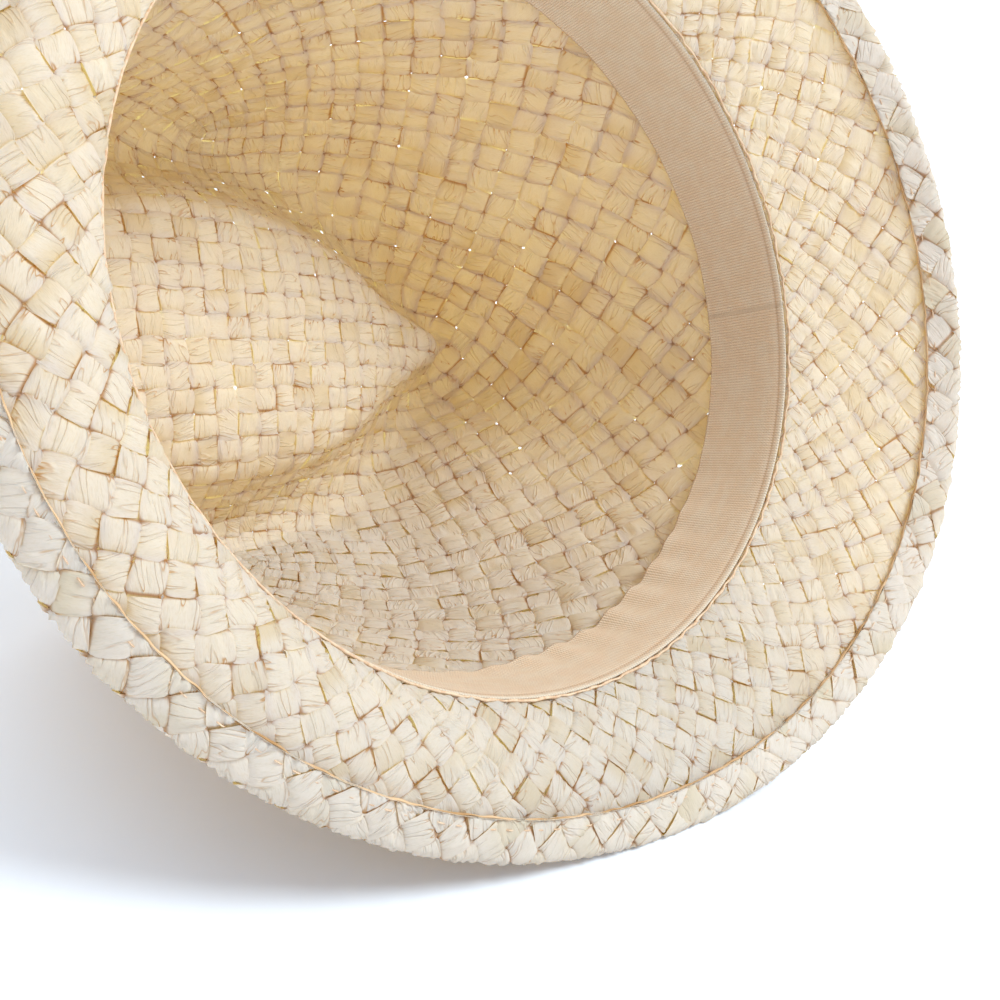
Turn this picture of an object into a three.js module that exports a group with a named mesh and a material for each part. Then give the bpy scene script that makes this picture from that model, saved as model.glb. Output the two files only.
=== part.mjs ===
// A straw trilby lying on its side, as it comes to rest by itself on its brim and the side of its crown.
//
// The hat is worked out in its own frame: +X to the front, +Y to the wearer's left, +Z to the crown's tip, with the
// origin in the middle of the head opening. It is then laid down so that +Z is up, +X still points to the front and
// +Y points to the crown. Lengths are millimetres and angles are degrees.
import * as THREE from "three";
import { ConvexHull } from "three/addons/math/ConvexHull.js";

// Head opening, measured on the middle of the straw where the crown meets the brim.
const HEAD_LENGTH = 199;
const HEAD_WIDTH = 170;

// Crown, from the opening to its crest. The crest is a little lower at the back and leans to the wearer's right.
const CROWN_FRONT_HEIGHT = 108;
const CROWN_BACK_HEIGHT = 102;
const CROWN_LEAN = 5;
const PINCH_DEPTH = 8;

// Brim, measured along the straw from the crown's foot to the outer edge.
const BRIM_FRONT = 48.5;
const BRIM_SIDE = 34;
const BRIM_BACK = 30.5;

// Straw plait and the strip of the brim that is folded under and sewn.
const STRAW_THICKNESS = 1.4;
const HEM_WIDTH = 9.5;

// Cotton sweatband: a tape that stands in the crown with its sewn edge at the opening.
const BAND_HEIGHT = 21;
const BAND_THICKNESS = 0.8;
const BAND_CLEARANCE = 0.3;
const BAND_LEAN = 0.9;
const BAND_FOOT = 1.2;

// Slopes of the brim, in degrees below the opening's plane, where it leaves the crown and at its edge.
const BRIM_SLOPE = {
  front: { start: 25, end: 47 },
  side: { start: 46, end: -27 },
  back: { start: 21, end: -64 },
};

// Level curves of the crown, from the middle of the tip's dent to the opening. Length and width are shares of the
// head's half length and half width, forward is a share of the half length, and height is a share of the crown's.
// Point makes the curve a teardrop with its point at the front, and steps is the number of mesh rows up to it.
const CROWN_LEVELS = [
  { name: "dent middle", length: 0.0, width: 0.0, forward: -0.08, height: 0.8, point: 0.4, steps: 0 },
  { name: "dent floor", length: 0.33, width: 0.27, forward: -0.05, height: 0.805, point: 0.5, steps: 1 },
  { name: "dent foot", length: 0.575, width: 0.455, forward: -0.01, height: 0.835, point: 0.8, steps: 2 },
  { name: "dent flank", length: 0.66, width: 0.53, forward: 0.0, height: 0.89, point: 0.85, steps: 2 },
  { name: "inner crest", length: 0.71, width: 0.58, forward: 0.008, height: 0.96, point: 0.65, steps: 2 },
  { name: "crest", length: 0.755, width: 0.63, forward: 0.015, height: 1.0, point: 0.4, steps: 2 },
  { name: "shoulder", length: 0.8, width: 0.68, forward: 0.015, height: 0.975, point: 0.2, steps: 2 },
  { name: "upper wall", length: 0.87, width: 0.76, forward: 0.01, height: 0.82, point: 0.05, steps: 2 },
  { name: "middle wall", length: 0.94, width: 0.87, forward: 0.0, height: 0.5, point: 0.0, steps: 2 },
  { name: "lower wall", length: 0.98, width: 0.955, forward: 0.0, height: 0.2, point: 0.0, steps: 1 },
  { name: "opening", length: 1.0, width: 1.0, forward: 0.0, height: 0.0, point: 0.0, steps: 1 },
];

// Dents pressed into the wall. Azimuth and spread are degrees round the crown from the front, height and reach are
// shares of the crown's height, and depth is a share of the pinch's depth.
const WALL_DENTS = [
  { name: "left pinch", azimuth: 38, spread: 20, height: 0.86, reach: 0.26, depth: 1.0 },
  { name: "right pinch", azimuth: -38, spread: 20, height: 0.86, reach: 0.26, depth: 1.0 },
  { name: "left hollow", azimuth: 118, spread: 22, height: 0.72, reach: 0.22, depth: 0.4 },
  { name: "right hollow", azimuth: -112, spread: 24, height: 0.66, reach: 0.22, depth: 0.3 },
];

// The wall's dents fade out inside the crest, from the opening's size down to this share of it.
const DENT_FREE_LENGTH = 0.3;

// How blunt the teardrop's point is, as a share of its full width.
const POINT_ROUNDING = 0.26;

// The side that the hat lies on: the wearer's left, tipped towards the crown. The brim's edge stands on the level
// there, and the crown's straw gives way to it and lies flat.
const RESTING_SIDE = new THREE.Vector3(0.1133, 0.842, 0.5275).normalize();

// Mesh counts: columns round the hat, rows along the brim and the hem, and samples along one stretch of brim.
const COLUMNS = 64;
const BRIM_ROWS = 6;
const HEM_ROWS = 3;
const NOSE_ROWS = 3;
const BAND_ROWS = 4;
const SLOPE_SAMPLES = 12;

// How far apart two points are taken to find the straw's direction, as a share of one level or of one turn.
const PROBE = 1e-3;

const radians = THREE.MathUtils.degToRad;
const lerp = THREE.MathUtils.lerp;

// A size given at the front, the side and the back, blended smoothly round the hat.
function around(azimuth, front, side, back) {
  const mean = (front + back) / 4 + side / 2;
  const frontToBack = (front - back) / 2;
  const endsToSides = (front + back) / 4 - side / 2;
  return mean + frontToBack * Math.cos(azimuth) + endsToSides * Math.cos(2 * azimuth);
}

// One value of the crown's level curves at a level between two rows of the table, on a smooth curve through them.
function levelValue(level, column) {
  const last = CROWN_LEVELS.length - 1;
  const row = Math.min(Math.floor(level), last - 1);
  const share = level - row;
  const value = (index) => CROWN_LEVELS[THREE.MathUtils.clamp(index, 0, last)][column];
  const [before, start, end, after] = [value(row - 1), value(row), value(row + 1), value(row + 2)];
  const leaving = (end - before) / 2;
  const arriving = (after - start) / 2;
  const cubic = 2 * (start - end) + leaving + arriving;
  const square = 3 * (end - start) - 2 * leaving - arriving;
  return ((cubic * share + square) * share + leaving) * share + start;
}

// How far the wall's dents press a point in, as a share of the pinch's depth.
function dentShare(azimuth, height) {
  let total = 0;
  for (const dent of WALL_DENTS) {
    const turn = azimuth - radians(dent.azimuth);
    const sideways = Math.atan2(Math.sin(turn), Math.cos(turn)) / radians(dent.spread);
    const upwards = (height - dent.height) / dent.reach;
    total += dent.depth * Math.exp(-sideways * sideways - upwards * upwards);
  }
  return total;
}

// The outward direction, level with the opening, at an azimuth of an oval.
function ovalNormal(azimuth, halfLength, halfWidth) {
  return new THREE.Vector3(Math.cos(azimuth) / halfLength, Math.sin(azimuth) / halfWidth, 0).normalize();
}

// The middle of the crown's straw. Level runs from 0 at the middle of the tip to the last row at the opening.
function crownPoint(azimuth, level) {
  const halfLength = HEAD_LENGTH / 2;
  const halfWidth = HEAD_WIDTH / 2;
  const height = levelValue(level, "height");
  const point = Math.max(levelValue(level, "point"), 0);
  const teardrop = Math.hypot(Math.sin(azimuth / 2), POINT_ROUNDING) ** point;
  const x = halfLength * (levelValue(level, "forward") + levelValue(level, "length") * Math.cos(azimuth));
  const y = halfWidth * levelValue(level, "width") * Math.sin(azimuth) * teardrop;
  const crownHeight = lerp(CROWN_BACK_HEIGHT, CROWN_FRONT_HEIGHT, (1 + x / halfLength) / 2);
  const spread = THREE.MathUtils.smoothstep(levelValue(level, "length"), DENT_FREE_LENGTH, 1);
  const inward = ovalNormal(azimuth, halfLength, halfWidth);
  inward.multiplyScalar(-PINCH_DEPTH * dentShare(azimuth, height) * spread);
  return new THREE.Vector3(x, y - CROWN_LEAN * height * height, height * crownHeight).add(inward);
}

// The middle of the brim's straw, at a length along it from the crown's foot.
function brimPoint(azimuth, reach) {
  const width = brimWidth(azimuth);
  const { front, side, back } = BRIM_SLOPE;
  const start = radians(around(azimuth, front.start, side.start, back.start));
  const end = radians(around(azimuth, front.end, side.end, back.end));
  let outward = 0;
  let downward = 0;
  for (let sample = 0; sample < SLOPE_SAMPLES; sample += 1) {
    const share = (sample + 0.5) / SLOPE_SAMPLES;
    const slope = lerp(start, end, (reach * share) / width);
    outward += (reach * Math.cos(slope)) / SLOPE_SAMPLES;
    downward += (reach * Math.sin(slope)) / SLOPE_SAMPLES;
  }
  const foot = crownPoint(azimuth, CROWN_LEVELS.length - 1);
  const direction = ovalNormal(azimuth, HEAD_LENGTH / 2, HEAD_WIDTH / 2);
  return foot.addScaledVector(direction, outward).add(new THREE.Vector3(0, 0, -downward));
}

// The brim's width along the straw at an azimuth.
function brimWidth(azimuth) {
  return around(azimuth, BRIM_FRONT, BRIM_SIDE, BRIM_BACK);
}

// A point of the crown, moved back to the level that the hat lies on if it would reach past it.
function pressedFlat(point) {
  const past = point.dot(RESTING_SIDE) - FLOOR_DISTANCE + STRAW_THICKNESS / 2;
  return past > 0 ? point.addScaledVector(RESTING_SIDE, -past) : point;
}

// A point of the whole straw shape. Station is a crown level, or past the opening the share of the brim's width.
function strawPoint(azimuth, station) {
  const opening = CROWN_LEVELS.length - 1;
  return station <= opening
    ? pressedFlat(crownPoint(azimuth, Math.max(station, 0)))
    : brimPoint(azimuth, (station - opening) * brimWidth(azimuth));
}

// The straw's outward direction: away from the head on the crown, and the brim's upper side.
function strawNormal(azimuth, station) {
  if (station < PROBE) return new THREE.Vector3(0, 0, 1);
  const along = strawPoint(azimuth, station + PROBE).sub(strawPoint(azimuth, station - PROBE));
  const across = strawPoint(azimuth + PROBE, station).sub(strawPoint(azimuth - PROBE, station));
  return along.cross(across).normalize();
}

// A point beside the middle of the straw, to its outer side where the distance is positive.
function besideStraw(azimuth, station, distance) {
  return strawPoint(azimuth, station).addScaledVector(strawNormal(azimuth, station), distance);
}

// How far the level that the hat lies on is from the middle of the opening. It meets the rim of the brim.
function floorDistance() {
  const rim = ringOf((azimuth) => besideStraw(azimuth, CROWN_LEVELS.length, -STRAW_THICKNESS / 2));
  return Math.max(...rim.map((point) => point.dot(RESTING_SIDE)));
}

// The stations of the crown's mesh rows, from the first row round the tip's middle to the opening.
function crownStations() {
  const stations = [];
  CROWN_LEVELS.forEach((row, index) => {
    for (let step = 1; step <= row.steps; step += 1) {
      stations.push(index - 1 + step / row.steps);
    }
  });
  return stations;
}

// A closed body from rings of points that all have one column to each azimuth. The rings run from a first to a last
// single point, or close on themselves where there is none.
function meshFromRings(rings, poles) {
  const positions = rings.flat().flatMap((point) => point.toArray());
  const faces = [];
  const columns = rings[0].length;
  const corner = (ring, column) => ring * columns + (column % columns);
  const bands = poles ? rings.length - 1 : rings.length;
  for (let ring = 0; ring < bands; ring += 1) {
    const next = (ring + 1) % rings.length;
    for (let column = 0; column < columns; column += 1) {
      faces.push(corner(ring, column), corner(next, column), corner(next, column + 1));
      faces.push(corner(ring, column), corner(next, column + 1), corner(ring, column + 1));
    }
  }
  if (poles) {
    const first = positions.length / 3;
    const last = first + 1;
    positions.push(...poles.first.toArray(), ...poles.last.toArray());
    for (let column = 0; column < columns; column += 1) {
      faces.push(first, corner(0, column), corner(0, column + 1));
      faces.push(last, corner(rings.length - 1, column + 1), corner(rings.length - 1, column));
    }
  }
  const geometry = new THREE.BufferGeometry();
  geometry.setAttribute("position", new THREE.Float32BufferAttribute(positions, 3));
  geometry.setIndex(faces);
  geometry.computeVertexNormals();
  return geometry;
}

// One ring of points round the hat, each worked out from its azimuth.
function ringOf(pointAt) {
  return Array.from({ length: COLUMNS }, (_, column) => pointAt((2 * Math.PI * column) / COLUMNS));
}

// The woven hood: crown, brim and folded hem in one piece of straw.
function strawBody() {
  const half = STRAW_THICKNESS / 2;
  const opening = CROWN_LEVELS.length - 1;
  const crown = crownStations();
  const hemShare = (azimuth) => 1 - HEM_WIDTH / brimWidth(azimuth);
  const noseShare = (azimuth) => 1 - STRAW_THICKNESS / brimWidth(azimuth);
  const brimRow = (row, offset) =>
    ringOf((azimuth) => besideStraw(azimuth, opening + (hemShare(azimuth) * row) / BRIM_ROWS, offset));
  const hemRow = (row, offset) =>
    ringOf((azimuth) => {
      const share = lerp(hemShare(azimuth), noseShare(azimuth), row / HEM_ROWS);
      return besideStraw(azimuth, opening + share, offset);
    });
  const noseRow = (row) =>
    ringOf((azimuth) => {
      const angle = (Math.PI * row) / (NOSE_ROWS + 1);
      const share = noseShare(azimuth) + (STRAW_THICKNESS * Math.sin(angle)) / brimWidth(azimuth);
      return besideStraw(azimuth, opening + share, -half + STRAW_THICKNESS * Math.cos(angle));
    });
  const rings = crown.map((station) => ringOf((azimuth) => besideStraw(azimuth, station, half)));
  for (let row = 1; row <= BRIM_ROWS; row += 1) rings.push(brimRow(row, half));
  for (let row = 1; row <= HEM_ROWS; row += 1) rings.push(hemRow(row, half));
  for (let row = 1; row <= NOSE_ROWS; row += 1) rings.push(noseRow(row));
  for (let row = HEM_ROWS; row >= 0; row -= 1) rings.push(hemRow(row, -half - STRAW_THICKNESS));
  for (let row = BRIM_ROWS; row >= 1; row -= 1) rings.push(brimRow(row, -half));
  for (const station of crown.reverse()) rings.push(ringOf((azimuth) => besideStraw(azimuth, station, -half)));
  const middle = (offset) => besideStraw(0, 0, offset);
  return meshFromRings(rings, { first: middle(half), last: middle(-half) });
}

// The crown level, between the lower walls and the opening, whose straw is at a height above the opening.
function levelAtHeight(azimuth, height) {
  let upper = CROWN_LEVELS.findIndex((row) => row.name === "upper wall");
  let lower = CROWN_LEVELS.length - 1;
  while (lower - upper > PROBE / 10) {
    const middle = (upper + lower) / 2;
    if (crownPoint(azimuth, middle).z > height) upper = middle;
    else lower = middle;
  }
  return lower;
}

// The sweatband: a tape with one face beside the straw, whose free edge stands a little further off.
function sweatband() {
  const row = (share, depth) =>
    ringOf((azimuth) => {
      const level = levelAtHeight(azimuth, BAND_FOOT + share * BAND_HEIGHT);
      const gap = STRAW_THICKNESS / 2 + BAND_CLEARANCE + share * BAND_LEAN;
      return besideStraw(azimuth, level, -gap - depth);
    });
  const rings = [];
  for (let step = 0; step <= BAND_ROWS; step += 1) rings.push(row(step / BAND_ROWS, BAND_THICKNESS));
  for (let step = BAND_ROWS; step >= 0; step -= 1) rings.push(row(step / BAND_ROWS, 0));
  return meshFromRings(rings, null);
}

// The middle of a closed body's volume, and that volume, from its triangles.
function volumeAndMiddle(geometry) {
  const corners = geometry.getAttribute("position");
  const index = geometry.getIndex();
  const middle = new THREE.Vector3();
  const [a, b, c] = [new THREE.Vector3(), new THREE.Vector3(), new THREE.Vector3()];
  let volume = 0;
  for (let face = 0; face < index.count; face += 3) {
    [a, b, c].forEach((corner, k) => corner.fromBufferAttribute(corners, index.getX(face + k)));
    const part = a.dot(b.clone().cross(c)) / 6;
    volume += part;
    middle.addScaledVector(a.clone().add(b).add(c), part / 4);
  }
  return { volume, middle: middle.divideScalar(volume) };
}

// The middle of the whole hat's volume, about which it balances.
function balancePoint(geometries) {
  const parts = geometries.map(volumeAndMiddle);
  const total = parts.reduce((sum, part) => sum + part.volume, 0);
  return parts.reduce((sum, part) => sum.addScaledVector(part.middle, part.volume / total), new THREE.Vector3());
}

// The outline's face that the hat rests on: of the faces of its hull that turn towards the resting side and have
// the balance point over them, the one that keeps that point lowest.
function restingNormal(hull, balance) {
  const triangle = new THREE.Triangle();
  const foot = new THREE.Vector3();
  let best = { height: Infinity, normal: RESTING_SIDE };
  for (const face of hull.faces) {
    if (face.normal.dot(RESTING_SIDE) < Math.cos(radians(30))) continue;
    const height = -face.distanceToPoint(balance);
    foot.copy(balance).addScaledVector(face.normal, height);
    triangle.set(face.edge.tail().point, face.edge.head().point, face.edge.next.head().point);
    if (height < best.height && triangle.containsPoint(foot)) best = { height, normal: face.normal.clone() };
  }
  return best.normal;
}

// Turns and moves the hat so that it rests on the level z = 0 with the middle of its outline over the origin.
function layDown(hat, geometries) {
  const points = geometries.flatMap((geometry) => {
    const corners = geometry.getAttribute("position");
    return Array.from({ length: corners.count }, (_, i) => new THREE.Vector3().fromBufferAttribute(corners, i));
  });
  const down = restingNormal(new ConvexHull().setFromPoints(points), balancePoint(geometries));
  const up = down.clone().negate();
  const crownwards = new THREE.Vector3().crossVectors(up, new THREE.Vector3(1, 0, 0)).normalize();
  const frontwards = new THREE.Vector3().crossVectors(crownwards, up);
  const turn = new THREE.Matrix4().makeBasis(frontwards, crownwards, up).transpose();
  const outline = new THREE.Box3().setFromPoints(points.map((point) => point.clone().applyMatrix4(turn)));
  hat.quaternion.setFromRotationMatrix(turn);
  hat.position.set(-(outline.min.x + outline.max.x) / 2, -(outline.min.y + outline.max.y) / 2, -outline.min.z);
}

const straw = new THREE.MeshStandardMaterial({ color: 0xebe0c8, roughness: 0.72, metalness: 0 });
const cotton = new THREE.MeshStandardMaterial({ color: 0xd4b896, roughness: 0.9, metalness: 0 });

const FLOOR_DISTANCE = floorDistance();
const body = new THREE.Mesh(strawBody(), straw);
body.name = "straw_body";
const band = new THREE.Mesh(sweatband(), cotton);
band.name = "sweatband";

const hat = new THREE.Group();
hat.add(body, band);
layDown(hat, [body.geometry, band.geometry]);

export default hat;
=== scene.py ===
"""A cream straw trilby that lies on its side on a pale studio floor, seen into its open crown.

The hat is worked out in its own frame, in millimetres: X to the front, Y to the wearer's left and Z to the
tip of the crown, with the middle of the head opening at the origin. One placing then turns it to where its
solids lie.
"""

from __future__ import annotations

import logging
import math
from collections.abc import Callable
from dataclasses import dataclass, field
from enum import Enum
from functools import cached_property

import bpy
import numpy as np
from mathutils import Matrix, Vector


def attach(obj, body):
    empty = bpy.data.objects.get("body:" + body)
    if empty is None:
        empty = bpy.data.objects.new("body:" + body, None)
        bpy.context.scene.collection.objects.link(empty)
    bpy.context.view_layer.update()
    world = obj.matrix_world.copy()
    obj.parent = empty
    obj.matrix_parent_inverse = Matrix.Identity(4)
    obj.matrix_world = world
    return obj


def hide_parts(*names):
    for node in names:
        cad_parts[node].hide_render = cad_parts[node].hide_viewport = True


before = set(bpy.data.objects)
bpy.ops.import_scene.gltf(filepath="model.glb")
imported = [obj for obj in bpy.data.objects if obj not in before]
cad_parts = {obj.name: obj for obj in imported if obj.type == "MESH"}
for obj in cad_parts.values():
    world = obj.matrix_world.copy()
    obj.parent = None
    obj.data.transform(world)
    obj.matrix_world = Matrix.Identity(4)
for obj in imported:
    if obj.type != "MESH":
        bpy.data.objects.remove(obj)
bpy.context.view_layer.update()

logging.basicConfig(level=logging.INFO, format="%(message)s")
log = logging.getLogger("trilby")

Array = np.ndarray
MM = 0.001


# Shape of the hat


@dataclass(frozen=True)
class Round:
    """A size given at the front, the side and the back, blended smoothly round the hat."""

    front: float
    side: float
    back: float

    def at(self, azimuth: Array) -> Array:
        """Give the size at each azimuth.

        Args:
            azimuth: Angles round the hat from the front, in radians.

        Returns:
            The size at each angle.
        """
        mean = (self.front + self.back) / 4 + self.side / 2
        ends_to_sides = (self.front + self.back) / 4 - self.side / 2
        return mean + (self.front - self.back) / 2 * np.cos(azimuth) + ends_to_sides * np.cos(2 * azimuth)


class Level(Enum):
    """The columns of the crown's table of level curves."""

    LENGTH = 0
    WIDTH = 1
    FORWARD = 2
    HEIGHT = 3
    POINT = 4


# Length, width, forward, height and point of each level curve, from the tip's dent to the opening.
CROWN_LEVELS = np.array(
    [
        (0.0, 0.0, -0.08, 0.8, 0.4),
        (0.33, 0.27, -0.05, 0.805, 0.5),
        (0.575, 0.455, -0.01, 0.835, 0.8),
        (0.66, 0.53, 0.0, 0.89, 0.85),
        (0.71, 0.58, 0.008, 0.96, 0.65),
        (0.755, 0.63, 0.015, 1.0, 0.4),
        (0.8, 0.68, 0.015, 0.975, 0.2),
        (0.87, 0.76, 0.01, 0.82, 0.05),
        (0.94, 0.87, 0.0, 0.5, 0.0),
        (0.98, 0.955, 0.0, 0.2, 0.0),
        (1.0, 1.0, 0.0, 0.0, 0.0),
    ]
)

# Azimuth, spread, height, reach and depth of each dent pressed into the wall.
WALL_DENTS = (
    (38.0, 20.0, 0.86, 0.26, 1.0),
    (-38.0, 20.0, 0.86, 0.26, 1.0),
    (118.0, 22.0, 0.72, 0.22, 0.4),
    (-112.0, 24.0, 0.66, 0.22, 0.3),
)


@dataclass(frozen=True)
class HatShape:
    """The middle surface of the straw: the crown, the brim and the hem that is folded under it.

    Attributes:
        head_length: Length of the head opening, in millimetres, as all the lengths here.
        head_width: Width of the head opening.
        front_height: Height of the crown in front.
        back_height: Height of the crown at the back.
        lean: How far the tip leans to the side that it lies on.
        pinch_depth: How deep the two side pinches are.
        brim: Width of the brim.
        slope_start: How steeply the brim leaves the crown, in degrees.
        slope_end: How steeply it ends, in degrees.
        thickness: Thickness of the straw.
        hem_width: Width of the hem.
        dent_free_length: Share of the crown's length, round the tip's middle, that the dents leave alone.
        point_rounding: How round the teardrop's point is.
        resting_side: The direction, in the hat's frame, to the level that it lies on.
        slope_samples: Steps in which the brim's slope is summed up.
        probe: Angle between two points whose difference gives a direction, in radians.
        chart_probe: The same on the crown's round chart.
        lowest_row: Height of the crown's lowest row of levels.
        bend_reach: Length over which the brim's direction is smoothed.
        deepest_seam: How much deeper the sweatband is sewn at the back.
        deep_half: Half the angle over which it is, in radians.
    """

    head_length: float = 199.0
    head_width: float = 170.0
    front_height: float = 108.0
    back_height: float = 102.0
    lean: float = 5.0
    pinch_depth: float = 8.0
    brim: Round = Round(48.5, 34.0, 30.5)
    slope_start: Round = Round(25.0, 46.0, 21.0)
    slope_end: Round = Round(47.0, -27.0, -64.0)
    thickness: float = 1.4
    hem_width: float = 9.5
    dent_free_length: float = 0.3
    point_rounding: float = 0.26
    resting_side: tuple[float, float, float] = (0.1133, 0.842, 0.5275)
    slope_samples: int = 12
    probe: float = 1e-3
    chart_probe: float = 2e-3
    lowest_row: float = 21.0
    bend_reach: float = 2.0
    deepest_seam: float = 1.5
    deep_half: float = math.radians(50)

    @property
    def opening(self) -> float:
        """The crown level at the head opening."""
        return float(len(CROWN_LEVELS) - 1)

    @property
    def down(self) -> Array:
        """The direction, in the hat's frame, to the level that it lies on."""
        side = np.array(self.resting_side)
        return side / np.linalg.norm(side)

    def level(self, level: Array, column: Level) -> Array:
        """Read one column of the crown's table on a smooth curve through its rows.

        Args:
            level: Places between the rows, from 0 at the tip.
            column: Which column is read.

        Returns:
            The value at each place.
        """
        rows = CROWN_LEVELS[:, column.value]
        last = len(rows) - 1
        row = np.clip(np.floor(level).astype(int), 0, last - 1)
        share = level - row
        before, start, end, after = (rows[np.clip(row + step, 0, last)] for step in (-1, 0, 1, 2))
        leaving, arriving = (end - before) / 2, (after - start) / 2
        cubic = 2 * (start - end) + leaving + arriving
        square = 3 * (end - start) - 2 * leaving - arriving
        return ((cubic * share + square) * share + leaving) * share + start

    def dents(self, azimuth: Array, height: Array) -> Array:
        """How far the wall's dents press each point in.

        Args:
            azimuth: The points' azimuths, in radians.
            height: Their heights as shares of the crown's.

        Returns:
            Shares of the pinch's depth.
        """
        total = np.zeros_like(azimuth)
        for middle, spread, middle_height, reach, depth in WALL_DENTS:
            turn = azimuth - math.radians(middle)
            sideways = np.arctan2(np.sin(turn), np.cos(turn)) / math.radians(spread)
            upwards = (height - middle_height) / reach
            total += depth * np.exp(-sideways * sideways - upwards * upwards)
        return total

    def oval_normal(self, azimuth: Array) -> Array:
        """The outward direction, level with the opening, at places of the head's oval.

        Args:
            azimuth: The places' azimuths, in radians.

        Returns:
            The directions.
        """
        forward, aside = np.cos(azimuth) / self.head_length, np.sin(azimuth) / self.head_width
        out = np.stack([forward, aside, np.zeros_like(azimuth)], -1)
        return out / np.linalg.norm(out, axis=-1, keepdims=True)

    def crown_free(self, azimuth: Array, level: Array) -> Array:
        """Points of the crown as blocked, before it gives way to what it lies on.

        Args:
            azimuth: The points' azimuths, in radians.
            level: Their crown levels, from 0 in the middle of the tip.

        Returns:
            The points.
        """
        half_length, half_width = self.head_length / 2, self.head_width / 2
        level = np.clip(level, 0, self.opening)
        height = self.level(level, Level.HEIGHT)
        length = self.level(level, Level.LENGTH)
        point = np.maximum(self.level(level, Level.POINT), 0)
        teardrop = np.hypot(np.sin(azimuth / 2), self.point_rounding) ** point
        x = half_length * (self.level(level, Level.FORWARD) + length * np.cos(azimuth))
        y = half_width * self.level(level, Level.WIDTH) * np.sin(azimuth) * teardrop
        crown_height = self.back_height + (self.front_height - self.back_height) * (1 + x / half_length) / 2
        share = np.clip((length - self.dent_free_length) / (1 - self.dent_free_length), 0, 1)
        spread = share * share * (3 - 2 * share)
        points = np.stack([x, y - self.lean * height * height, height * crown_height], -1)
        press = self.pinch_depth * self.dents(azimuth, height) * spread
        return points - press[..., None] * self.oval_normal(azimuth)

    def crown(self, azimuth: Array, level: Array) -> Array:
        """Points of the crown, flat where it lies on the level that the brim's edge stands on.

        Args:
            azimuth: The points' azimuths, in radians.
            level: Their crown levels.

        Returns:
            The points.
        """
        points = self.crown_free(azimuth, level)
        past = points @ self.down - self.floor_distance + self.thickness / 2
        return points - np.maximum(past, 0)[..., None] * self.down

    def brim_point(self, azimuth: Array, reach: Array) -> Array:
        """Points of the brim's middle, or of the wall where the reach is negative.

        Args:
            azimuth: The points' azimuths, in radians.
            reach: Lengths along the brim from the crown's foot, in millimetres.

        Returns:
            The points.
        """
        width = self.brim.at(azimuth)
        out = np.maximum(reach, 0)
        start = np.radians(self.slope_start.at(azimuth))
        end = np.radians(self.slope_end.at(azimuth))
        outward, downward = np.zeros_like(reach), np.zeros_like(reach)
        for sample in range(self.slope_samples):
            share = (sample + 0.5) / self.slope_samples
            slope = start + (end - start) * out * share / width
            outward += out * np.cos(slope) / self.slope_samples
            downward += out * np.sin(slope) / self.slope_samples
        foot = self.crown_free(azimuth, np.full_like(azimuth, self.opening))
        points = foot + outward[..., None] * self.oval_normal(azimuth)
        points[..., 2] -= downward
        wall = self.crown_free(azimuth, self.opening + np.minimum(reach, 0) / self.lowest_row)
        return np.where(reach[..., None] < 0, wall, points)

    def brim_frame(self, azimuth: Array, reach: Array) -> tuple[Array, Array, Array]:
        """Points of the brim's middle with the straw's outward and outgoing directions.

        Args:
            azimuth: Angles round the hat, in radians.
            reach: Lengths along the brim from the crown's foot, in millimetres.

        Returns:
            The points, the upper side's normals and the directions to the brim's edge.
        """
        step = self.bend_reach
        along = self.brim_point(azimuth, reach + step) - self.brim_point(azimuth, reach - step)
        across = self.brim_point(azimuth + self.probe, reach) - self.brim_point(azimuth - self.probe, reach)
        normal = np.cross(along, across)
        normal /= np.linalg.norm(normal, axis=-1, keepdims=True)
        along /= np.linalg.norm(along, axis=-1, keepdims=True)
        return self.brim_point(azimuth, reach), normal, along

    def seam_depth(self, azimuth: Array) -> Array:
        """How much deeper the sweatband is sewn at the back, where the brim rolls over its edge.

        Args:
            azimuth: Angles round the hat, in radians.

        Returns:
            The depths, in millimetres.
        """
        from_back = np.abs(np.angle(np.exp(1j * (azimuth - np.pi))))
        return self.deepest_seam * np.exp(-((from_back / self.deep_half) ** 6))

    @cached_property
    def floor_distance(self) -> float:
        """How far the level that the hat lies on is from the middle of the opening.

        Returns:
            The distance, in millimetres.
        """
        azimuth = np.linspace(0, 2 * np.pi, 64, endpoint=False)
        points, normal, _ = self.brim_frame(azimuth, self.brim.at(azimuth))
        return float(np.max((points - normal * self.thickness / 2) @ self.down))

    def crown_frame(self, place: Array) -> tuple[Array, Array]:
        """Points and outward directions of the crown at places of its round chart.

        Args:
            place: Places as far from the chart's middle as their level, in the direction of their azimuth.

        Returns:
            The points and the outward directions.
        """
        step = self.chart_probe
        shifts = ((step, 0), (-step, 0), (0, step), (0, -step))
        spots = [self.chart_point(place + np.array(shift)) for shift in shifts]
        normal = np.cross(spots[0] - spots[1], spots[2] - spots[3])
        normal /= np.maximum(np.linalg.norm(normal, axis=-1, keepdims=True), 1e-12)
        return self.chart_point(place), normal

    def chart_point(self, place: Array) -> Array:
        """Points of the crown at places of its round chart."""
        level = np.hypot(place[..., 0], place[..., 1])
        return self.crown(np.arctan2(place[..., 1], place[..., 0]), np.minimum(level, self.opening))

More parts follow.
